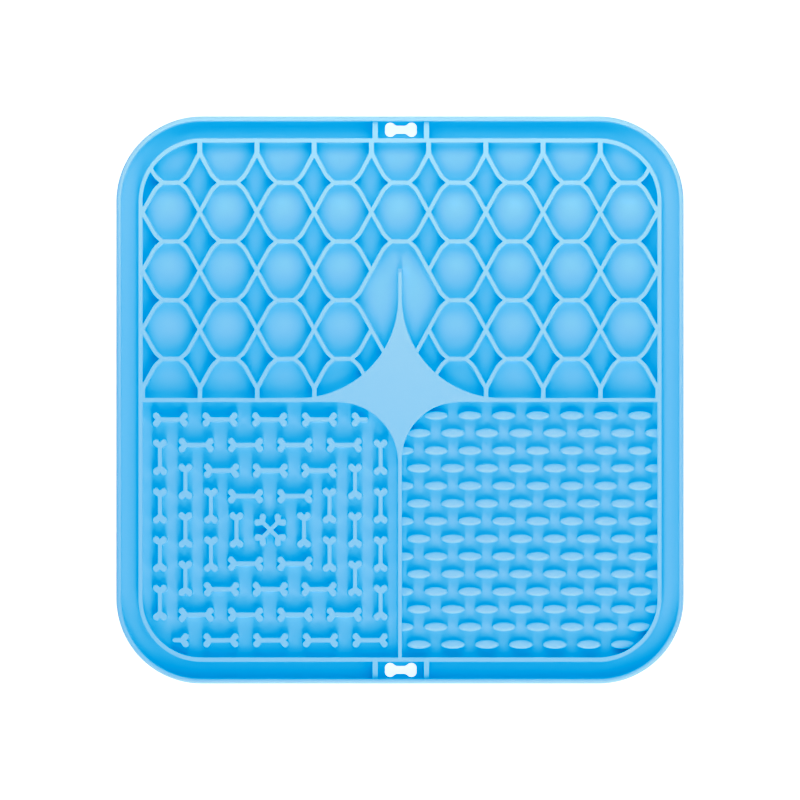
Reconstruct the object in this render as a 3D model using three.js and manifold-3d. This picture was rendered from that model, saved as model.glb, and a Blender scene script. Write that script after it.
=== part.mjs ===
// Square lick mat moulded in one piece: a thin floor, a raised rim, a channel behind it and three fields
// of relief (a honeycomb above, bones lower left, ovals lower right) that meet at a star in the middle.
// Millimetres, +Z up, origin at the centre of the underside.
import * as THREE from "three";
import { mergeVertices } from "three/addons/utils/BufferGeometryUtils.js";
import Module from "manifold-3d";

const wasm = await Module();
wasm.setup();

// heights above the underside
const floorTop = 2;
const boneTop = 6;
const ovalTop = 5.6;
const ribTop = 7;
const lipTop = 8.5;

// raised shapes start inside the floor and walls and cuts pass through, so that they fuse or cut cleanly
const rootZ = 1;
const below = -1;
const above = 12;
const overlap = 0.4;

// rounded squares, all four corners on the same centres
const cornerCentre = 70;
const cornerSteps = 9;
const lipOuter = 100;
const lipInner = 98.3;
const wallOuter = 92.25;
const wallInner = 90.7;

// the cross that parts the three fields, and the star on its middle
const dividerHalf = 0.77;
const star = { upperRadius: 35.1, lowerRadius: 18.4, arcSteps: 10, spikeTop: 45.4 };

// honeycomb: six-sided cells with diamonds between their corners
const comb = {
  columns: 9,
  pitchX: 20.17,
  pitchY: 20.7,
  topRib: 76.6,
  rows: 5,
  slantHalf: 0.6,
  levelHalf: 0.73,
  stubHalf: 0.9,
};
const combBend = { x: 5.5, y: 8.2 };
const combFlat = 3.085;
const openCell = { column: 4, firstRow: 2, lastRow: 3 };

// bone relief, counted outwards from the crossed pair in the middle of its field
const boneField = { centreX: -45.75, centreY: -45.75, firstStep: 11.9, step: 9 };
const bone = {
  length: 12.55,
  lobeRadius: 1.25,
  lobeOffset: 1.3,
  shaftHalf: 0.78,
  shaftEnd: 3.2,
  notch: 5.35,
  lobeAngles: [-22, 50, 128],
};
const boneRings = [
  { ring: 0, acrossPlaces: [-8.7, 8.7], uprightPlaces: [0] },
  { ring: 1, acrossPlaces: [-17.2, 0, 17.2], uprightPlaces: [-8.5, 8.5] },
  { ring: 2, acrossPlaces: [-26.1, -8.7, 8.7, 26.1], uprightPlaces: [-17.05, 0, 17.05] },
  { ring: 3, acrossPlaces: [-35.2, -17.7, -0.2, 17.4], uprightPlaces: [-25.6, -8.5, 8.5, 25.6] },
];
const halfBonePlace = 34.9;
const halfBoneStub = -0.35;

// oval studs, every second row shifted by half a pitch
const ovals = {
  rows: 14,
  columns: 8,
  firstX: 0.68,
  shift: 5.98,
  pitchX: 11.98,
  firstY: -5.6,
  pitchY: 6.2,
  halfLength: 4.15,
  halfWidth: 1.65,
  footScale: 1.12,
  sides: 10,
};

// hanging tabs in the channel, each a bay between two short ribs with a bone-shaped hole
const tab = { centreX: 0.3, ribCentre: 9.05, ribHalf: 0.9, holeY: 95.35 };
const tabHole = {
  length: 11.3,
  lobeRadius: 1.5,
  lobeOffset: 0.85,
  shaftHalf: 1.4,
  shaftEnd: 1.4,
  notch: 5.32,
  lobeAngles: [-30, 10, 50, 90],
};

// the rim bands carry the tabs, so they are parted from the mat by a hairline
const gap = 0.3;
const bandStart = 92.6;
const tabReach = tab.ribCentre + tab.ribHalf + gap / 6;

const siliconeBlue = 0x76c5f5;

function toSolid(geometry) {
  const bare = geometry.clone();
  bare.deleteAttribute("normal");
  bare.deleteAttribute("uv");
  const merged = mergeVertices(bare, 1e-4);
  const vertProperties = new Float32Array(merged.attributes.position.array);
  const triVerts = new Uint32Array(merged.index.array);
  return new wasm.Manifold(new wasm.Mesh({ numProp: 3, vertProperties, triVerts }));
}

function prism(points, bottom, top) {
  const geometry = new THREE.ExtrudeGeometry(new THREE.Shape(points), {
    depth: top - bottom,
    bevelEnabled: false,
  });
  geometry.translate(0, 0, bottom);
  return toSolid(geometry);
}

function box(x0, x1, y0, y1, z0, z1) {
  const geometry = new THREE.BoxGeometry(x1 - x0, y1 - y0, z1 - z0);
  geometry.translate((x0 + x1) / 2, (y0 + y1) / 2, (z0 + z1) / 2);
  return toSolid(geometry);
}

function join(solids) {
  return solids.reduce((sum, solid) => sum.add(solid));
}

// points on a circle, angles in degrees, both ends included
function arc(x, y, radius, from, to, steps) {
  const points = [];
  for (let i = 0; i <= steps; i += 1) {
    const angle = THREE.MathUtils.degToRad(from + ((to - from) * i) / steps);
    points.push(new THREE.Vector2(x + radius * Math.cos(angle), y + radius * Math.sin(angle)));
  }
  return points;
}

function roundedSquare(half) {
  const radius = half - cornerCentre;
  const corners = [
    [1, 1, 0],
    [-1, 1, 90],
    [-1, -1, 180],
    [1, -1, 270],
  ];
  return corners.flatMap(([sx, sy, from]) =>
    arc(sx * cornerCentre, sy * cornerCentre, radius, from, from + 90, cornerSteps)
  );
}

// moves every edge of a counterclockwise outline inwards by its own distance
function inset(points, distances) {
  const count = points.length;
  const edges = points.map((point, i) => {
    const next = points[(i + 1) % count];
    const along = next.clone().sub(point).normalize();
    const inward = new THREE.Vector2(-along.y, along.x);
    return { start: point.clone().addScaledVector(inward, distances[i]), along };
  });
  return edges.map((edge, i) => {
    const before = edges[(i + count - 1) % count];
    const offset = edge.start.clone().sub(before.start);
    const reach = offset.cross(edge.along) / before.along.cross(edge.along);
    return before.start.clone().addScaledVector(before.along, reach);
  });
}

function shifted(points, x, y) {
  return points.map((point) => new THREE.Vector2(point.x + x, point.y + y));
}

const halfPitchX = comb.pitchX / 2;
const halfPitchY = comb.pitchY / 2;

// a whole cell, or one at the top or bottom of the field, whose far side runs straight into the wall
function sixSided(runsUp, runsDown) {
  const v = (x, y) => new THREE.Vector2(x, y);
  const { slantHalf, levelHalf, stubHalf } = comb;
  const upper = [
    [v(halfPitchX, 0), slantHalf],
    [v(combBend.x, combBend.y), slantHalf],
    [v(combFlat, halfPitchY), levelHalf],
    [v(-combFlat, halfPitchY), slantHalf],
    [v(-combBend.x, combBend.y), slantHalf],
  ];
  const lower = upper.map(([point, width]) => [point.clone().negate(), width]);
  const straightUp = [
    [v(halfPitchX, 0), stubHalf],
    [v(halfPitchX, halfPitchY), levelHalf],
    [v(-halfPitchX, halfPitchY), stubHalf],
  ];
  const straightDown = straightUp.map(([point, width]) => [point.clone().negate(), width]);
  const outline = [...(runsUp ? straightUp : upper), ...(runsDown ? straightDown : lower)];
  return inset(outline.map(([point]) => point), outline.map(([, width]) => width));
}

function diamond() {
  const sideX = halfPitchX - combBend.x;
  const sideY = halfPitchY - combBend.y;
  const tipX = halfPitchX - combFlat;
  const quarter = [
    [tipX, 0],
    [sideX, sideY],
    [0, halfPitchY],
    [-sideX, sideY],
  ];
  const points = quarter.map(([x, y]) => new THREE.Vector2(x, y));
  points.push(...points.map((point) => point.clone().negate()));
  return inset(points, points.map(() => comb.slantHalf));
}

// the large cell above the star: two cells and the diamonds beside them run together, and the ribs that
// bound it pass straight through the crossings
function centreCell() {
  const topY = comb.topRib - comb.pitchY;
  const sideX = comb.pitchX - combBend.x;
  const tipX = comb.pitchX - combFlat;
  const right = [
    [combBend.x, topY - 3 * halfPitchY - combBend.y],
    [sideX, topY - 3 * halfPitchY + combBend.y],
    [tipX, topY - comb.pitchY],
    [sideX, topY - halfPitchY - combBend.y],
    [combBend.x, topY - halfPitchY + combBend.y],
    [combFlat, topY],
  ];
  const left = right.map(([x, y]) => [-x, y]).reverse();
  const points = [...right, ...left].map(([x, y]) => new THREE.Vector2(x, y));
  const widths = points.map(() => comb.slantHalf);
  widths[right.length - 1] = comb.levelHalf;
  return inset(points, widths);
}

function honeycombCells() {
  const cells = [];
  const middle = (comb.columns - 1) / 2;
  for (let row = 0; row < comb.rows; row += 1) {
    const y = comb.topRib + halfPitchY - row * comb.pitchY;
    const outline = sixSided(row === 0, row === comb.rows - 1);
    for (let column = 0; column < comb.columns; column += 1) {
      const merged = column === openCell.column && row >= openCell.firstRow && row <= openCell.lastRow;
      if (!merged) {
        cells.push(shifted(outline, (column - middle) * comb.pitchX, y));
      }
    }
  }
  for (let row = 0; row < comb.rows - 1; row += 1) {
    const y = comb.topRib - row * comb.pitchY;
    for (let corner = 0; corner <= comb.columns; corner += 1) {
      const x = (corner - comb.columns / 2) * comb.pitchX;
      const merged = row === openCell.firstRow && Math.abs(x) < comb.pitchX;
      if (!merged) {
        cells.push(shifted(diamond(), x, y));
      }
    }
  }
  cells.push(centreCell());
  return cells;
}

function starOutline() {
  const { upperRadius, lowerRadius, arcSteps, spikeTop } = star;
  const upper = dividerHalf + upperRadius;
  const lower = dividerHalf + lowerRadius;
  return [
    new THREE.Vector2(-dividerHalf, spikeTop),
    ...arc(-upper, upper, upperRadius, 0, -90, arcSteps),
    ...arc(-lower, -lower, lowerRadius, 90, 0, arcSteps),
    ...arc(lower, -lower, lowerRadius, 180, 90, arcSteps),
    ...arc(upper, upper, upperRadius, -90, -180, arcSteps),
    new THREE.Vector2(dividerHalf, spikeTop),
  ];
}

// a bone along X: two lobes and a notch at each end, a straight shaft between them
function boneOutline(size) {
  const { length, lobeRadius, lobeOffset, shaftHalf, shaftEnd, notch, lobeAngles } = size;
  const lobeX = length / 2 - lobeRadius;
  const lobe = lobeAngles.map((degrees) => {
    const angle = THREE.MathUtils.degToRad(degrees);
    return [lobeX + lobeRadius * Math.cos(angle), lobeOffset + lobeRadius * Math.sin(angle)];
  });
  const quarter = [...lobe, [shaftEnd, shaftHalf]];
  const mirrored = quarter.map(([x, y]) => [-x, y]).reverse();
  const half = [[notch, 0], ...quarter, ...mirrored];
  const points = half.map(([x, y]) => new THREE.Vector2(x, y));
  return [...points, ...points.map((point) => point.clone().negate())];
}

function turned(points, degrees) {
  const centre = new THREE.Vector2(0, 0);
  return points.map((point) => point.clone().rotateAround(centre, THREE.MathUtils.degToRad(degrees)));
}

// the left half of a bone, its shaft ending in a blunt point
function halfBoneOutline() {
  const lobes = boneOutline(bone).filter((point) => point.x < 0);
  const stub = [
    [halfBoneStub - bone.shaftHalf, -bone.shaftHalf],
    [halfBoneStub, 0],
    [halfBoneStub - bone.shaftHalf, bone.shaftHalf],
  ];
  return [...stub.map(([x, y]) => new THREE.Vector2(x, y)), ...lobes];
}

function boneSolids() {
  const across = boneOutline(bone);
  const upright = turned(across, 90);
  const half = halfBoneOutline();
  const { centreX, centreY, firstStep, step } = boneField;
  const outlines = [];
  const place = (outline, x, y) => outlines.push(shifted(outline, centreX + x, centreY + y));
  for (const { ring, acrossPlaces, uprightPlaces } of boneRings) {
    const away = firstStep + ring * step;
    for (const x of acrossPlaces) {
      place(across, x, away);
      place(across, -x, -away);
    }
    for (const y of uprightPlaces) {
      place(upright, away, y);
      place(upright, -away, y);
    }
  }
  const lastAway = firstStep + (boneRings.length - 1) * step;
  place(half, halfBonePlace, lastAway);
  place(turned(half, 180), -halfBonePlace, -lastAway);
  const solids = outlines.map((outline) => prism(outline, rootZ, boneTop));
  const crossed = [45, 135].map((degrees) => shifted(turned(across, degrees), centreX, centreY));
  solids.push(...crossed.map((outline) => prism(outline, rootZ, boneTop)));
  return solids;
}

function ovalSolids() {
  const { halfLength, halfWidth, footScale, sides } = ovals;
  const stud = new THREE.CylinderGeometry(1, footScale, ovalTop - rootZ, sides);
  stud.rotateX(Math.PI / 2);
  stud.rotateZ(Math.PI / 2);
  stud.scale(halfLength, halfWidth, 1);
  stud.translate(0, 0, (ovalTop + rootZ) / 2);
  const solids = [];
  for (let row = 0; row < ovals.rows; row += 1) {
    for (let column = 0; column < ovals.columns; column += 1) {
      const x = ovals.firstX + (row % 2) * ovals.shift + column * ovals.pitchX;
      const copy = stud.clone();
      copy.translate(x, ovals.firstY - row * ovals.pitchY, 0);
      solids.push(toSolid(copy));
    }
  }
  return solids;
}

function tabSolids() {
  const ribs = [];
  for (const side of [-1, 1]) {
    const x = tab.centreX + side * tab.ribCentre;
    const span = [x - tab.ribHalf, x + tab.ribHalf];
    ribs.push(box(...span, wallOuter - overlap, lipInner + overlap, rootZ, ribTop));
    ribs.push(box(...span, -lipInner - overlap, -wallOuter + overlap, rootZ, ribTop));
  }
  return ribs;
}

function buildMat() {
  const starSolid = prism(starOutline(), rootZ, above);
  const inside = prism(roundedSquare(wallInner), floorTop, above);
  const upperField = inside.intersect(box(-lipOuter, lipOuter, dividerHalf, lipOuter, rootZ, above));
  const lowerBox = (x0, x1) => box(x0, x1, -lipOuter, -dividerHalf, rootZ, above);
  const boneBasin = inside.intersect(lowerBox(-lipOuter, -dividerHalf)).subtract(starSolid);
  const ovalBasin = inside.intersect(lowerBox(dividerHalf, lipOuter)).subtract(starSolid);
  const cells = join(honeycombCells().map((outline) => prism(outline, floorTop, above)));

  const channel = prism(roundedSquare(lipInner), floorTop, above).subtract(
    prism(roundedSquare(wallOuter), rootZ, above)
  );
  const lowered = prism(roundedSquare(wallOuter + overlap), ribTop, above);
  const relief = join([...boneSolids(), ...ovalSolids().map((stud) => stud.intersect(ovalBasin))]);
  const holes = [1, -1].map((side) =>
    prism(shifted(boneOutline(tabHole), tab.centreX, side * tab.holeY), below, above)
  );

  return prism(roundedSquare(lipOuter), 0, lipTop)
    .subtract(channel)
    .subtract(lowered)
    .subtract(cells.intersect(upperField).subtract(starSolid))
    .subtract(boneBasin)
    .subtract(ovalBasin)
    .add(relief)
    .add(join(tabSolids()))
    .subtract(join(holes));
}

function toMesh(solid, name) {
  const { vertProperties, triVerts } = solid.getMesh();
  const geometry = new THREE.BufferGeometry();
  geometry.setAttribute("position", new THREE.BufferAttribute(new Float32Array(vertProperties), 3));
  geometry.setIndex(new THREE.BufferAttribute(new Uint32Array(triVerts), 1));
  geometry.computeVertexNormals();
  const material = new THREE.MeshStandardMaterial({ color: siliconeBlue, roughness: 0.5, metalness: 0 });
  const mesh = new THREE.Mesh(geometry, material);
  mesh.name = name;
  return mesh;
}

const whole = buildMat();
const reach = lipOuter + overlap;
const tabLeft = tab.centreX - tabReach;
const tabRight = tab.centreX + tabReach;
const matEdge = bandStart - gap;

const group = new THREE.Group();
group.add(toMesh(whole.intersect(box(-reach, reach, -matEdge, matEdge, below, above)), "mat"));

const bands = [
  { name: "rim_left", x0: -reach, x1: tabLeft - gap },
  { name: "hang_tab", x0: tabLeft, x1: tabRight },
  { name: "rim_right", x0: tabRight + gap, x1: reach },
];
for (const { name, x0, x1 } of bands) {
  group.add(toMesh(whole.intersect(box(x0, x1, bandStart, reach, below, above)), `${name}_top`));
  group.add(toMesh(whole.intersect(box(x0, x1, -reach, -bandStart, below, above)), `${name}_bottom`));
}

export default group;
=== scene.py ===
import math

import bmesh
import bpy
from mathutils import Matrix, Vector


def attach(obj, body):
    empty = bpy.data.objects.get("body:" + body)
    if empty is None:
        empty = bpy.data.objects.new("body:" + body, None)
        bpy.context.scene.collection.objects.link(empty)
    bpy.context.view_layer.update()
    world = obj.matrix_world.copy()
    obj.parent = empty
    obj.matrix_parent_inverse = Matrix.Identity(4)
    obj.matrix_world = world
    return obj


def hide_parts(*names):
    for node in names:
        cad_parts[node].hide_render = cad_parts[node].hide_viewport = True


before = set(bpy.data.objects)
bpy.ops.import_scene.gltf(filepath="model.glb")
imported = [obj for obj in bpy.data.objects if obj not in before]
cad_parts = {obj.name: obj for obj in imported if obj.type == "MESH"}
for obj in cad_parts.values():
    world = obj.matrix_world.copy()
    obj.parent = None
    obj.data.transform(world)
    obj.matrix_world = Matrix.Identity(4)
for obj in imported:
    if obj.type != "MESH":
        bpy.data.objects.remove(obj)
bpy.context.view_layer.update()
print("frame loaded with", len(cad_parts), "nodes")

# everything is modelled in millimetres and brought to metres when its bmesh becomes a piece
millimetre = 0.001
levels = {"floor": 2.0, "bone": 6.4, "rib": 7.0, "lip": 8.5}

# how near to a plane a point counts as on it, and how near to each other two points are merged
tolerances = {"cut": 1e-5, "behind": 1e-4, "merge": 0.12}

# rounded squares, all corners on the same centres
square = {
    "cornerCentre": 70.0,
    "cornerSegments": 24,
    "lipOuter": 100.0,
    "lipInner": 98.3,
    "wallOuter": 92.25,
    "wallInner": 90.7,
}

# the side of a rib from its flat top down: rounded edge, drafted wall, fillet at the foot
ribSide = {
    "edge": 0.13,
    "edgeSteps": 3,
    "draft": 0.01,
    "foot": 0.15,
    "footSteps": 3,
    "narrowShare": 0.6,  # of the room in a narrow cell, the most that its sides take
    "sharpest": 0.02,  # radians, a corner sharper than this counts as this sharp
    "spare": 1.05,  # an edge this much longer than needed outlasts an inset
}


def quarterSteps(radius, count, startsFlat):
    # a quarter circle cut into (sideways, down) steps
    angles = [math.radians(90 * i / count) for i in range(count + 1)]
    if startsFlat:
        points = [(radius * math.sin(a), radius * (1 - math.cos(a))) for a in angles]
    else:
        points = [(radius * (1 - math.cos(a)), radius * math.sin(a)) for a in angles]
    return [(b[0] - a[0], b[1] - a[1]) for a, b in zip(points, points[1:])]


def arcPoints(x, y, radius, start, end, count):
    angles = [math.radians(start + (end - start) * i / count) for i in range(count + 1)]
    return [(x + radius * math.cos(a), y + radius * math.sin(a)) for a in angles]


def turned(points, degrees):
    a = math.radians(degrees)
    return [(x * math.cos(a) - y * math.sin(a), x * math.sin(a) + y * math.cos(a)) for x, y in points]


def roundedSquare(half):
    centre = square["cornerCentre"]
    points = []
    for sx, sy, start in ((1, 1, 0), (-1, 1, 90), (-1, -1, 180), (1, -1, 270)):
        points += arcPoints(
            sx * centre, sy * centre, half - centre, start, start + 90, square["cornerSegments"]
        )
    return points


def outwards(co):
    # the way from the rounded square's core to a point
    centre = square["cornerCentre"]
    core = Vector((max(-centre, min(centre, co.x)), max(-centre, min(centre, co.y)), 0))
    return (Vector((co.x, co.y, 0)) - core).normalized()


def insideWall(edge):
    # true for an edge of the fields or their wall, false for one out by the rim
    centre = square["cornerCentre"]
    limit = (square["wallOuter"] + square["lipInner"]) / 2 - centre
    for vert in edge.verts:
        x = max(0, abs(vert.co.x) - centre)
        y = max(0, abs(vert.co.y) - centre)
        if math.hypot(x, y) > limit:
            return False
    return True


def outlinePlanes(points):
    # one (point, outward normal) for each edge of a counterclockwise convex outline
    planes = []
    for a, b in zip(points, points[1:] + points[:1]):
        along = Vector((b[0] - a[0], b[1] - a[1], 0))
        planes.append((Vector((a[0], a[1], 0)), Vector((along.y, -along.x, 0)).normalized()))
    return planes


def addFace(bm, points, z):
    face = bm.faces.new([bm.verts.new((x, y, z)) for x, y in points])
    face.normal_update()
    if face.normal.z < 0:
        face.normal_flip()
    return face


def insetFaces(bm, faces, inwards, depth=0.0):
    return bmesh.ops.inset_individual(
        bm, faces=faces, thickness=inwards, depth=depth, use_even_offset=True
    )["faces"]


def splitFaces(bm, faces, point, normal):
    geom = set(faces)
    for face in faces:
        geom.update(face.edges)
        geom.update(face.verts)
    result = bmesh.ops.bisect_plane(
        bm, geom=list(geom), dist=tolerances["cut"], plane_co=point, plane_no=normal
    )
    return [g for g in result["geom"] if isinstance(g, bmesh.types.BMFace)]


def clipFaces(bm, faces, planes):
    # keeps what lies behind every plane
    outside = []
    for point, normal in planes:
        crossing = [
            f for f in faces
            if any((v.co - point).dot(normal) > tolerances["behind"] for v in f.verts)
        ]
        if not crossing:
            continue
        faces = [f for f in faces if f not in crossing]
        for part in splitFaces(bm, crossing, point, normal):
            side = (part.calc_center_median() - point).dot(normal)
            (faces if side < 0 else outside).append(part)
    bmesh.ops.delete(bm, geom=outside, context="FACES")
    return faces


def cutAll(bm, point, normal, clearOuter=False):
    geom = bm.verts[:] + bm.edges[:] + bm.faces[:]
    bmesh.ops.bisect_plane(bm, geom=geom, plane_co=point, plane_no=normal, clear_outer=clearOuter)


def closeHoles(bm):
    bmesh.ops.holes_fill(bm, edges=[e for e in bm.edges if e.is_boundary], sides=0)


def collapseShort(bm, faces, inwards):
    # merges the ends of an edge that the next inset would turn round
    short = set()
    for face in faces:
        reach = []
        for loop in face.loops:
            half = loop.calc_angle() / 2
            cot = 1 / math.tan(max(half, ribSide["sharpest"]))
            reach.append(inwards * (cot if loop.is_convex else -cot))
        for i, loop in enumerate(face.loops):
            needed = reach[i] + reach[(i + 1) % len(reach)]
            if loop.edge.calc_length() < ribSide["spare"] * needed:
                short.add(loop.edge)
    if short:
        bmesh.ops.collapse(bm, edges=list(short))


def sinkFaces(bm, faces, draft=ribSide["draft"], foot=ribSide["foot"]):
    # sinks each face to the floor and leaves the side of a rib round it, finer in a narrow cell
    steps = quarterSteps(ribSide["edge"], ribSide["edgeSteps"], True)
    steps += [(draft, levels["rib"] - levels["floor"] - ribSide["edge"] - foot)]
    steps += quarterSteps(foot, ribSide["footSteps"], False)
    total = sum(step[0] for step in steps)
    # faces that need the same scale are sunk together
    groups = {}
    for face in faces:
        room = 2 * face.calc_area() / face.calc_perimeter()
        scale = min(1.0, ribSide["narrowShare"] * room / total)
        groups.setdefault(round(scale, 2), []).append(face)
    for scale, group in groups.items():
        for inwards, down in steps:
            collapseShort(bm, group, inwards * scale)
            insetFaces(bm, group, inwards * scale, -down)


# the channel behind the rim and the short ribs of the two hanging tabs
tabs = {"centreX": 0.3, "ribCentre": 9.05, "ribHalf": 1.0, "draft": 0.04, "foot": 0.1}


def buildChannel(bm):
    # returns the channel's two halves and the bay between the ribs of each tab
    top = addFace(bm, roundedSquare(square["lipInner"]), levels["rib"])
    edge = square["wallOuter"] - ribSide["edge"]
    insetFaces(bm, [top], square["lipInner"] - edge)
    bmesh.ops.delete(bm, geom=[top], context="FACES_ONLY")
    half = tabs["ribHalf"] - ribSide["edge"]
    ribs = [tabs["centreX"] + side * tabs["ribCentre"] for side in (-1, 1)]
    cuts = [x + way * half for x in ribs for way in (-1, 1)]
    for x in cuts:
        cutAll(bm, (x, 0, 0), (1, 0, 0))
    left, right, bays = [], [], []
    for face in bm.faces:
        x = face.calc_center_median().x
        if x < cuts[0]:
            left.append(face)
        elif x > cuts[3]:
            right.append(face)
        elif cuts[1] < x < cuts[2]:
            bays.append(face)
    left = bmesh.ops.dissolve_faces(bm, faces=left)["region"]
    right = bmesh.ops.dissolve_faces(bm, faces=right)["region"]
    return left + right, bays


# the cross that parts the fields and the star on its middle
star = {
    "dividerHalf": 0.74,
    "upperRadius": 35.1,  # of the star's two upper sides
    "boneRadius": 21.5,  # of its side at the bones
    "ovalRadius": 20.2,  # of its side at the ovals
    "segments": 24,
    "spikeTop": 46.0,
    "spikeSlope": 0.8,  # length of the sloped end
    "slopeSlices": 4,
    "tipHeight": 4.4,  # above the floor
    "narrowLength": 12.0,  # how far below its end the spike is still narrow
}

# honeycomb with diamonds between the corners of its cells
comb = {
    "columns": 9,
    "rows": 5,
    "pitchX": 20.17,
    "pitchY": 20.7,
    "topRib": 76.6,
    "slantHalf": 0.76,
    "levelHalf": 0.76,
    "stubHalf": 0.95,
    # from a corner of a cell down along a slanted rib to the corner of the diamond
    "arm": ((7.0, 0.0), (4.95, 1.82), (4.2, 2.8), (3.6, 3.8), (2.9, 5.07), (0.0, 10.35)),
    "openRow": 2,  # from this row down the middle column is one open field with the spike in it
    "openFoot": 4.0,  # how far this field is drawn on below its last cell, under the star
    "openHalf": 1.0,  # a field that doesn't reach this far across the middle belongs to one side
}


def cellOutline(runsUp, runsDown):
    # one cell round its centre; level and upright ribs that are wider than the slanted ones are drawn in
    halfX, halfY = comb["pitchX"] / 2, comb["pitchY"] / 2
    arm = [(halfX - x, halfY - y) for x, y in reversed(comb["arm"])]
    flatX, bendX, bendY = arm[-1][0], *arm[-2]
    levelY = halfY - (comb["levelHalf"] - comb["slantHalf"])
    arm[-1] = (flatX + (halfY - levelY) * (bendX - flatX) / (halfY - bendY), levelY)
    stubX = halfX - (comb["stubHalf"] - comb["slantHalf"])
    upper = arm + [(-x, y) for x, y in reversed(arm[1:])]
    stub = [(stubX, 0), (stubX, halfY), (-stubX, halfY), (-stubX, 0)]
    lower = [(-x, -y) for x, y in upper]
    if runsUp:
        return stub + lower[1:]
    if runsDown:
        return upper + [(-x, -y) for x, y in stub[:3]]
    return upper + lower


def diamondOutline():
    arm = list(comb["arm"])
    half = arm + [(-x, y) for x, y in reversed(arm[1:-1])]
    return half + [(-x, -y) for x, y in half]


def openOutline():
    # two cells and the diamonds beside them run together above the star
    topY = comb["topRib"] - (comb["openRow"] - 1) * comb["pitchY"]
    halfX = comb["pitchX"] / 2
    arm = comb["arm"]
    tipY = topY - comb["pitchY"]
    below = tipY - comb["pitchY"]
    right = [(0, below - comb["openFoot"])]
    right += [(halfX - x, below + y) for x, y in arm[1:-1]]
    right += [(halfX + x, tipY - y) for x, y in reversed(arm[1:-1])]
    right += [(halfX + x, tipY + y) for x, y in arm[:-1]]
    right += [(halfX - x, topY - y) for x, y in reversed(arm[1:-1])]
    right.append((halfX - arm[0][0], topY - comb["levelHalf"] + comb["slantHalf"]))
    return right + [(-x, y) for x, y in reversed(right[1:])]


def starPlanes(side):
    # round the field beside the upper half of the star, whose corner at the middle is rounded
    half, radius = star["dividerHalf"], star["upperRadius"]
    far = 2 * square["lipOuter"]
    corner = arcPoints(half + radius, half + radius, radius, 180, 270, star["segments"])
    points = corner + [(far, half), (far, far), (half, far)]
    planes = outlinePlanes(points)
    if side < 0:
        planes = [(Vector((-p.x, p.y, 0)), Vector((-n.x, n.y, 0))) for p, n in planes]
    return [(p + n * ribSide["edge"], n) for p, n in planes]


def cutSpike(bm, field):
    # cut level with the spike's tip and down the middle, trim the lower quarters along the star, join again
    tip = star["spikeTop"] + ribSide["edge"]
    parts = splitFaces(bm, [field], (0, tip, 0), (0, 1, 0))
    parts = splitFaces(bm, parts, (0, 0, 0), (1, 0, 0))
    upper = [f for f in parts if f.calc_center_median().y > tip]
    lower = [f for f in parts if f not in upper]
    sides = {side: [f for f in lower if side * f.calc_center_median().x > 0] for side in (-1, 1)}
    kept = []
    for side, faces in sides.items():
        kept += clipFaces(bm, faces, starPlanes(side))
    bmesh.ops.dissolve_faces(bm, faces=upper + kept)


def slopeSpike(bm):
    # the end of the spike slopes down to a lower tip; what lies within reach of the middle is the spike
    reach = 2 * star["dividerHalf"]
    start = star["spikeTop"] - star["spikeSlope"]
    for i in range(star["slopeSlices"]):
        near = [
            f for f in bm.faces
            if all(abs(v.co.x) < reach and v.co.y > start - star["narrowLength"] for v in f.verts)
        ]
        splitFaces(bm, near, (0, start + i * star["spikeSlope"] / star["slopeSlices"], 0), (0, 1, 0))
    lowest = star["tipHeight"] / (levels["rib"] - levels["floor"])
    for vert in bm.verts:
        if abs(vert.co.x) < reach and start < vert.co.y < star["spikeTop"] + reach:
            along = min(1, (vert.co.y - start) / star["spikeSlope"])
            height = 1 - (1 - lowest) * along
            vert.co.z = levels["floor"] + (vert.co.z - levels["floor"]) * height


def buildHoneycomb():
    # the plan of all cells and diamonds at the height of the ribs
    bm = bmesh.new()
    middle = (comb["columns"] - 1) / 2
    halfY = comb["pitchY"] / 2

    def place(outline, x, y):
        addFace(bm, [(px + x, py + y) for px, py in outline], levels["rib"])

    for row in range(comb["rows"]):
        y = comb["topRib"] + halfY - row * comb["pitchY"]
        outline = cellOutline(row == 0, row == comb["rows"] - 1)
        for column in range(comb["columns"]):
            if column != middle or row < comb["openRow"]:
                place(outline, (column - middle) * comb["pitchX"], y)
    for row in range(comb["rows"] - 1):
        y = comb["topRib"] - row * comb["pitchY"]
        for corner in range(comb["columns"] + 1):
            x = (corner - comb["columns"] / 2) * comb["pitchX"]
            if row != comb["openRow"] or abs(x) >= comb["pitchX"]:
                place(diamondOutline(), x, y)
    place(openOutline(), 0, 0)
    ribs = insetFaces(bm, bm.faces[:], comb["slantHalf"] - ribSide["edge"])
    bmesh.ops.delete(bm, geom=ribs, context="FACES")
    # the wall goes round the field and the divider below it
    planes = outlinePlanes(roundedSquare(square["wallInner"] + ribSide["edge"]))
    planes.append((Vector((0, star["dividerHalf"] - ribSide["edge"], 0)), Vector((0, -1, 0))))
    clipFaces(bm, bm.faces[:], planes)
    for side in (-1, 1):
        faces = [
            f for f in bm.faces
            if side * f.calc_center_median().x > comb["openHalf"]
            and min(side * v.co.x for v in f.verts) > -comb["openHalf"]
        ]
        clipFaces(bm, faces, starPlanes(side))
    cutSpike(bm, max(bm.faces, key=lambda f: f.calc_area()))
    bmesh.ops.remove_doubles(bm, verts=bm.verts, dist=tolerances["merge"])
    return bm


def basinOutline(arcRadius):
    # a square on the right whose outer corner follows the wall and whose inner corner follows the star
    near = star["dividerHalf"] - ribSide["edge"]
    far = square["wallInner"] + ribSide["edge"]
    centre, wallRadius = square["cornerCentre"], far - square["cornerCentre"]
    starRadius = arcRadius + ribSide["edge"]
    starCentre = star["dividerHalf"] + arcRadius
    return (
        arcPoints(starCentre, -starCentre, starRadius, 180, 90, star["segments"])
        + [(far, -near)]
        + arcPoints(centre, -centre, wallRadius, 0, -90, square["cornerSegments"])
        + [(near, -far)]
    )


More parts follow.
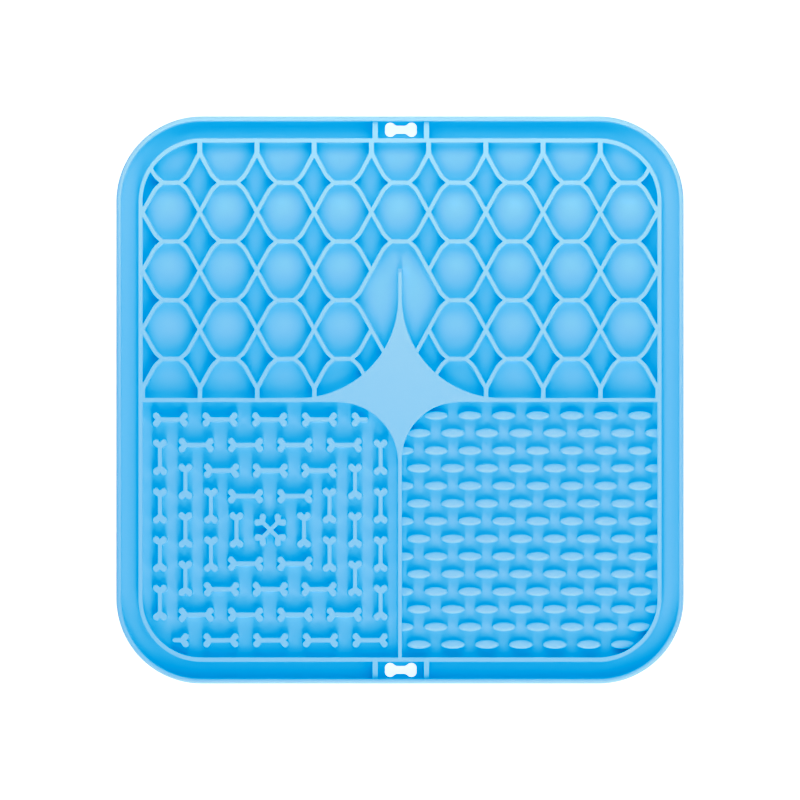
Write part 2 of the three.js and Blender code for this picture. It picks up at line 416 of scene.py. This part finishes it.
def buildBasins(bm):
    # the two lower fields
    ovalBasin = addFace(bm, basinOutline(star["ovalRadius"]), levels["rib"])
    boneBasin = addFace(bm, [(-x, y) for x, y in basinOutline(star["boneRadius"])], levels["rib"])
    return boneBasin, ovalBasin


# bones in rings round a crossed pair, with their places along the level and the upright rows of each ring
boneField = {
    "centre": (-45.75, -45.75),
    "firstStep": 11.9,
    "step": 9.0,
    "across": ((-8.7, 8.7), (-17.2, 0, 17.2), (-26.1, -8.7, 8.7, 26.1), (-35.2, -17.7, -0.2, 17.4)),
    "upright": ((0,), (-8.5, 8.5), (-17.05, 0, 17.05), (-25.6, -8.5, 8.5, 25.6)),
    "halfPlace": 34.9,
}
bone = {
    "length": 12.55,
    "lobeRadius": 1.25,
    "lobeOffset": 1.3,
    "lobeAngles": (-25, 0, 25, 50, 75, 100, 128),
    "notch": 5.35,
    "shaftHalf": 0.78,
    "shaftEnd": 3.2,
    "halfStub": -0.35,  # where the shaft of a half bone ends
    "stubSegments": 6,
    "grow": 0.35,  # how far the foot stands out beyond the top all round
    "foot": 0.2,
    "rounding": 0.2,
    "steps": 2,
}


def boneQuarter(size):
    # from the notch in the end round one lobe to the shaft
    lobeX, lobeY, radius = size["length"] / 2 - size["lobeRadius"], size["lobeOffset"], size["lobeRadius"]
    points = [(size["notch"], 0)]
    for degrees in size["lobeAngles"]:
        a = math.radians(degrees)
        points.append((lobeX + radius * math.cos(a), lobeY + radius * math.sin(a)))
    points.append((size["shaftEnd"], size["shaftHalf"]))
    return points


def boneOutline(size):
    quarter = boneQuarter(size)
    half = quarter + [(-x, y) for x, y in reversed(quarter[1:])]
    return half + [(-x, -y) for x, y in half]


def boneCross(size):
    # four arms with a square of shaft between them
    quarter = boneQuarter(size)
    arm = [(x, -y) for x, y in reversed(quarter[1:])] + quarter
    arm.append((size["shaftHalf"], size["shaftHalf"]))
    return [point for turn in range(4) for point in turned(arm, 45 + 90 * turn)]


def halfBone(size):
    # the left end with a round stub of shaft
    lobes = [p for p in boneOutline(size) if p[0] < 0]
    tip, half = size["halfStub"], size["shaftHalf"]
    return arcPoints(tip - half, 0, half, -90, 90, size["stubSegments"]) + lobes


def placeBones():
    # (outline, x, y) of every bone from the centre of the field
    across = boneOutline(bone)
    upright = turned(across, 90)
    half = halfBone(bone)
    places = []
    for ring, (xs, ys) in enumerate(zip(boneField["across"], boneField["upright"])):
        away = boneField["firstStep"] + ring * boneField["step"]
        for x in xs:
            places += [(across, x, away), (across, -x, -away)]
        for y in ys:
            places += [(upright, away, y), (upright, -away, y)]
    # the outermost level rows end in half a bone
    halfX = boneField["halfPlace"]
    places += [(half, halfX, away), (turned(half, 180), -halfX, -away)]
    places.append((boneCross(bone), 0, 0))
    return places


def buildBones(bm, floorFace):
    cx, cy = boneField["centre"]
    faces = [
        addFace(bm, [(px + x + cx, py + y + cy) for px, py in outline], levels["floor"])
        for outline, x, y in placeBones()
    ]
    rings = insetFaces(bm, faces, -bone["grow"])
    bmesh.ops.delete(bm, geom=rings, context="FACES")
    edges = [e for f in faces + [floorFace] for e in f.edges]
    bmesh.ops.delete(bm, geom=[floorFace], context="FACES_ONLY")
    bmesh.ops.triangle_fill(bm, edges=edges, use_beauty=True, normal=(0, 0, 1))
    foot = bone["foot"]
    steps = quarterSteps(foot, bone["steps"], True)
    steps += [(bone["grow"] - foot, levels["bone"] - levels["floor"] - foot - bone["rounding"])]
    steps += quarterSteps(bone["rounding"], bone["steps"], False)
    for inwards, up in steps:
        insetFaces(bm, faces, inwards, up)


# bone-shaped hanging holes
hole = {
    "length": 11.3,
    "lobeRadius": 1.9,
    "lobeOffset": 0.6,
    "lobeAngles": (-15, 5, 25, 45, 65, 85, 105, 125, 142),
    "notch": 5.36,
    "shaftHalf": 1.4,
    "shaftEnd": 1.6,
    "centres": ((0.32, 95.3), (0.27, -95.2)),
}


def buildHoles(bm, bayFloors):
    # opens each bay's floor and returns the rings of edges on the underside
    bottom = []
    topDown = sorted(bayFloors, key=lambda f: -f.calc_center_median().y)
    for (x, y), bay in zip(hole["centres"], topDown):
        face = addFace(bm, [(px + x, py + y) for px, py in boneOutline(hole)], levels["floor"])
        edges = list(face.edges) + list(bay.edges)
        holeRim = list(face.edges)
        bmesh.ops.delete(bm, geom=[bay, face], context="FACES_ONLY")
        bmesh.ops.triangle_fill(bm, edges=edges, use_beauty=True, normal=(0, 0, 1))
        down = bmesh.ops.extrude_edge_only(bm, edges=holeRim)["geom"]
        verts = [g for g in down if isinstance(g, bmesh.types.BMVert)]
        bmesh.ops.translate(bm, verts=verts, vec=(0, 0, -levels["floor"]))
        bottom += [g for g in down if isinstance(g, bmesh.types.BMEdge)]
    return bottom


# radii of the rim: inner edge of its lip, brow at the outer side, foot at the underside
rim = {"lip": 0.3, "lipSteps": 3, "brow": 0.9, "browSteps": 5, "foot": 0.4, "footSteps": 3}


def buildRim(bm, edges, holeEdges):
    # each ring is extruded from the one before, and the underside is closed round the holes
    inner, outer, top = square["lipInner"], square["lipOuter"], levels["lip"]
    rings = [(0.0, top - rim["lip"] - levels["rib"])]
    rings += quarterSteps(rim["lip"], rim["lipSteps"], False)
    rings += [(outer - inner - rim["lip"] - rim["brow"], 0.0)]
    rings += [(side, -down) for side, down in quarterSteps(rim["brow"], rim["browSteps"], True)]
    rings += [(0.0, -(top - rim["brow"] - rim["foot"]))]
    rings += [(-side, -down) for side, down in quarterSteps(rim["foot"], rim["footSteps"], False)]
    for out, up in rings:
        made = bmesh.ops.extrude_edge_only(bm, edges=edges)["geom"]
        for vert in [g for g in made if isinstance(g, bmesh.types.BMVert)]:
            vert.co += outwards(vert.co) * out + Vector((0, 0, up))
        edges = [g for g in made if isinstance(g, bmesh.types.BMEdge)]
    bmesh.ops.triangle_fill(bm, edges=edges + holeEdges, use_beauty=True, normal=(0, 0, -1))


# a face counts as level by the height of its normal, an edge as sharp by its angle in degrees
shading = {"levelNormal": 0.9999, "matSharp": 40, "ovalSharp": 50}


def makePiece(bm, name, sharpAngle):
    bmesh.ops.recalc_face_normals(bm, faces=bm.faces)
    bm.normal_update()
    for face in bm.faces:
        face.smooth = abs(face.normal.z) < shading["levelNormal"]
    for edge in bm.edges:
        if len(edge.link_faces) == 2:
            edge.smooth = edge.calc_face_angle() < math.radians(sharpAngle)
    bmesh.ops.scale(bm, vec=(millimetre, millimetre, millimetre), verts=bm.verts)
    mesh = bpy.data.meshes.new(name)
    bm.to_mesh(mesh)
    bm.free()
    piece = bpy.data.objects.new(name, mesh)
    bpy.context.scene.collection.objects.link(piece)
    return piece


def buildMat():
    bm = bmesh.new()
    channel, bays = buildChannel(bm)
    plan = buildHoneycomb()
    holder = bpy.data.meshes.new("honeycomb_plan")
    plan.to_mesh(holder)
    plan.free()
    before = set(bm.faces)
    bm.from_mesh(holder)
    bpy.data.meshes.remove(holder)
    cells = [f for f in bm.faces if f not in before]
    boneBasin, ovalBasin = buildBasins(bm)
    sunk = channel + cells + [boneBasin, ovalBasin]
    # the tops of all ribs, the star, the dividers and the wall are what is left between the fields
    around = [e for e in bm.edges if len(e.link_faces) == 1 and insideWall(e)]
    bmesh.ops.triangle_fill(bm, edges=around, use_beauty=True, normal=(0, 0, 1))
    bm.normal_update()
    for face in sunk + bays:
        if face.normal.z < 0:
            face.normal_flip()
    sinkFaces(bm, sunk)
    sinkFaces(bm, bays, tabs["draft"], tabs["foot"])
    slopeSpike(bm)
    print("cells, basins and channel sunk:", len(bm.faces), "faces")
    buildBones(bm, boneBasin)
    print("bones raised:", len(bm.faces), "faces")
    holeEdges = buildHoles(bm, bays)
    openEdges = [e for e in bm.edges if len(e.link_faces) == 1 and not insideWall(e)]
    rimEdges = [e for e in openEdges if e.verts[0].co.z > levels["floor"]]
    buildRim(bm, rimEdges, holeEdges)
    print("rim and underside closed:", len(bm.faces), "faces")
    return makePiece(bm, "lick_mat", shading["matSharp"])


mat = buildMat()

# oval studs, every second row shifted by half a pitch
ovals = {
    "rows": 14,
    "columns": 8,
    "firstX": 0.68,
    "shift": 5.98,
    "pitchX": 11.98,
    "firstY": -5.45,
    "pitchY": 6.21,
    "halfLength": 4.3,
    "halfWidth": 1.6,
    "sides": 20,
    # scale and height of each ring, the first one just inside the floor
    "rings": ((1.0, 1.7), (1.0, 4.7), (0.97, 4.95), (0.88, 5.13), (0.7, 5.24), (0.4, 5.3)),
    "straight": 0.99,  # an edge of the wall whose normal is this near to an axis is a straight side
}


def ovalLimits():
    # the ovals at an edge run into the divider or the wall
    planes = [
        (p, n) for p, n in outlinePlanes(roundedSquare((square["wallInner"] + square["wallOuter"]) / 2))
        if p.x > 0 and p.y < 0 or n.x > ovals["straight"] or n.y < -ovals["straight"]
    ]
    planes.append((Vector((0, 0, 0)), Vector((-1, 0, 0))))
    return planes


def buildOvals():
    bm = bmesh.new()
    faces = []
    for row in range(ovals["rows"]):
        for column in range(ovals["columns"]):
            x = ovals["firstX"] + (row % 2) * ovals["shift"] + column * ovals["pitchX"]
            y = ovals["firstY"] - row * ovals["pitchY"]
            ring = bmesh.ops.create_circle(bm, cap_ends=True, radius=1, segments=ovals["sides"])["verts"]
            for vert in ring:
                vert.co = Vector((x + vert.co.x * ovals["halfLength"], y + vert.co.y * ovals["halfWidth"], 0))
            faces.append(ring[0].link_faces[0])
    lastScale, lastZ = 1, 0
    for scale, z in ovals["rings"]:
        if lastZ:
            faces = bmesh.ops.extrude_discrete_faces(bm, faces=faces)["faces"]
        for face in faces:
            centre = face.calc_center_median()
            for vert in face.verts:
                vert.co = centre + (vert.co - centre) * (scale / lastScale)
                vert.co.z = z
        lastScale, lastZ = scale, z
    closeHoles(bm)
    for point, normal in ovalLimits():
        cutAll(bm, point, normal, True)
        closeHoles(bm)
    return makePiece(bm, "oval_studs", shading["ovalSharp"])


ovalStuds = buildOvals()
print("ovals made:", len(ovalStuds.data.polygons), "faces")

# sky-blue silicone with a fine grain, with painted shade: its colour is a touch darker where ambient
# occlusion finds the relief shut in than where it is open to the light
silicone = {
    # how open a place is, and its colour there, a touch darker in the hollows as painted shade
    "paintedShadeColours": (
        (0.3, (0.265, 0.60, 0.87, 1)),
        (0.6, (0.27, 0.61, 0.88, 1)),
        (0.95, (0.27, 0.62, 0.88, 1)),
    ),
    "reach": 0.006,
    "reachSamples": 8,
    "roughness": 0.5,
    "specular": 0.3,
    "grainScale": 900,
    "grainDetail": 3,
    "grainStrength": 0.04,
    "grainDepth": 0.0003,
}


def makeSilicone():
    material = bpy.data.materials.new("sky_blue_silicone")
    material.use_nodes = True
    nodes, links = material.node_tree.nodes, material.node_tree.links
    shader = nodes["Principled BSDF"]
    shader.inputs["Roughness"].default_value = silicone["roughness"]
    shader.inputs["Specular IOR Level"].default_value = silicone["specular"]
    # painted shade: ambient occlusion picks the base colour, darker in recesses and corners
    paintedShade = nodes.new("ShaderNodeAmbientOcclusion")
    paintedShade.samples = silicone["reachSamples"]
    paintedShade.inputs["Distance"].default_value = silicone["reach"]
    ramp = nodes.new("ShaderNodeValToRGB")
    stops = ramp.color_ramp.elements
    stops.new(0.5)  # a third stop between the two that the ramp starts with
    for stop, (openness, colour) in zip(stops, silicone["paintedShadeColours"]):
        stop.position, stop.color = openness, colour
    links.new(paintedShade.outputs["AO"], ramp.inputs["Fac"])
    links.new(ramp.outputs["Color"], shader.inputs["Base Color"])
    place = nodes.new("ShaderNodeTexCoord")
    grain = nodes.new("ShaderNodeTexNoise")
    grain.inputs["Scale"].default_value = silicone["grainScale"]
    grain.inputs["Detail"].default_value = silicone["grainDetail"]
    bump = nodes.new("ShaderNodeBump")
    bump.inputs["Strength"].default_value = silicone["grainStrength"]
    bump.inputs["Distance"].default_value = silicone["grainDepth"]
    links.new(place.outputs["Object"], grain.inputs["Vector"])
    links.new(grain.outputs["Fac"], bump.inputs["Height"])
    links.new(bump.outputs["Normal"], shader.inputs["Normal"])
    return material


siliconeBlue = makeSilicone()
for piece in (mat, ovalStuds):
    piece.data.materials.append(siliconeBlue)
    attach(piece, "root")
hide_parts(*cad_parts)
print("silicone on both pieces")

# plain white floor that glows a little, just under the mat
whiteFloor = {"size": 3, "below": 0.0002, "colour": (0.95, 0.95, 0.95, 1), "roughness": 0.9, "glow": 0.6}


def buildFloor():
    mesh = bpy.data.meshes.new("floor")
    bm = bmesh.new()
    bmesh.ops.create_grid(bm, x_segments=1, y_segments=1, size=whiteFloor["size"])
    bmesh.ops.translate(bm, verts=bm.verts, vec=(0, 0, -whiteFloor["below"]))
    bm.to_mesh(mesh)
    bm.free()
    plate = bpy.data.objects.new("floor", mesh)
    bpy.context.scene.collection.objects.link(plate)
    material = bpy.data.materials.new("white_floor")
    material.use_nodes = True
    shader = material.node_tree.nodes["Principled BSDF"]
    shader.inputs["Base Color"].default_value = whiteFloor["colour"]
    shader.inputs["Roughness"].default_value = whiteFloor["roughness"]
    shader.inputs["Emission Color"].default_value = (1, 1, 1, 1)
    shader.inputs["Emission Strength"].default_value = whiteFloor["glow"]
    mesh.materials.append(material)
    return plate


floor = buildFloor()

# soft boxes well away, most of them on the near side, and long strips close by
studio = {
    "roomLight": 0.03,
    "away": 0.9,
    "boxSize": (0.25, 0.25),
    # elevation, turn and watts; no turn is the near side, and a positive one goes towards +X
    "boxes": {
        "front_high": (60, 0, 1.05),
        "front": (45, 0, 1.21),
        "front_low": (30, 0, 2),
        "right_high": (55, 45, 0.56),
        "right_low": (30, 45, 1.29),
        "left_low": (30, -45, 0.91),
        "back_high": (60, 180, 0.65),
    },
    # place, size and watts
    "strips": {
        "back_strip": ((0, 0.2, 0.2), (0.5, 0.1), 0.25),
        "back_strip_low": ((0, 0.2, 0.1), (0.5, 0.1), 0.21),
        "right_strip": ((0.2, 0, 0.3), (0.06, 0.5), 0.14),
        "left_strip": ((-0.2, 0, 0.3), (0.06, 0.5), 0.08),
    },
}

world = bpy.data.worlds.new("studio")
world.use_nodes = True
world.node_tree.nodes["Background"].inputs["Color"].default_value = (1, 1, 1, 1)
world.node_tree.nodes["Background"].inputs["Strength"].default_value = studio["roomLight"]
bpy.context.scene.world = world


def addSoftLight(name, place, size, watts):
    # a rectangle of light that faces the mat's middle
    light = bpy.data.lights.new(name, "AREA")
    light.shape = "RECTANGLE"
    light.size, light.size_y = size
    light.energy = watts
    lamp = bpy.data.objects.new(name, light)
    lamp.location = place
    lamp.rotation_euler = (-Vector(place)).to_track_quat("-Z", "Y").to_euler()
    bpy.context.scene.collection.objects.link(lamp)


def aroundMat(elevation, turn):
    e, t = math.radians(elevation), math.radians(turn)
    return [studio["away"] * c for c in (math.cos(e) * math.sin(t), -math.cos(e) * math.cos(t), math.sin(e))]


for name, (elevation, turn, watts) in studio["boxes"].items():
    addSoftLight(name, aroundMat(elevation, turn), studio["boxSize"], watts)
for name, (place, size, watts) in studio["strips"].items():
    addSoftLight(name, place, size, watts)
print("floor and lights set")

# straight above with a long lens
shot = {"height": 10, "frameWidth": 0.2819, "sensor": 36, "clipEnd": 20}
cameraData = bpy.data.cameras.new("camera")
cameraData.sensor_width = shot["sensor"]
cameraData.lens = shot["sensor"] * (shot["height"] - levels["lip"] * millimetre) / shot["frameWidth"]
cameraData.clip_end = shot["clipEnd"]
camera = bpy.data.objects.new("camera", cameraData)
camera.location = (0, 0, shot["height"])
bpy.context.scene.collection.objects.link(camera)
bpy.context.scene.camera = camera

# shown as a vivid product photo: in the shade red falls away, green and blue are lifted
grade = {
    "red": (
        (0.114, 0.007), (0.143, 0.034), (0.165, 0.063), (0.198, 0.116),
        (0.233, 0.18), (0.27, 0.245), (0.3, 0.34),
    ),
    "green": (
        (0.216, 0.3), (0.327, 0.396), (0.44, 0.483), (0.51, 0.527),
        (0.574, 0.573), (0.615, 0.618), (0.685, 0.72),
    ),
    "blue": ((0.448, 0.758), (0.609, 0.826), (0.762, 0.878), (0.87, 0.914), (0.95, 0.93)),
}
view = bpy.context.scene.view_settings
view.view_transform = "Standard"
view.use_curve_mapping = True
for curve, points in zip(view.curve_mapping.curves, grade.values()):
    for point in points:
        curve.points.new(*point)
view.curve_mapping.update()
print("camera and grade set")
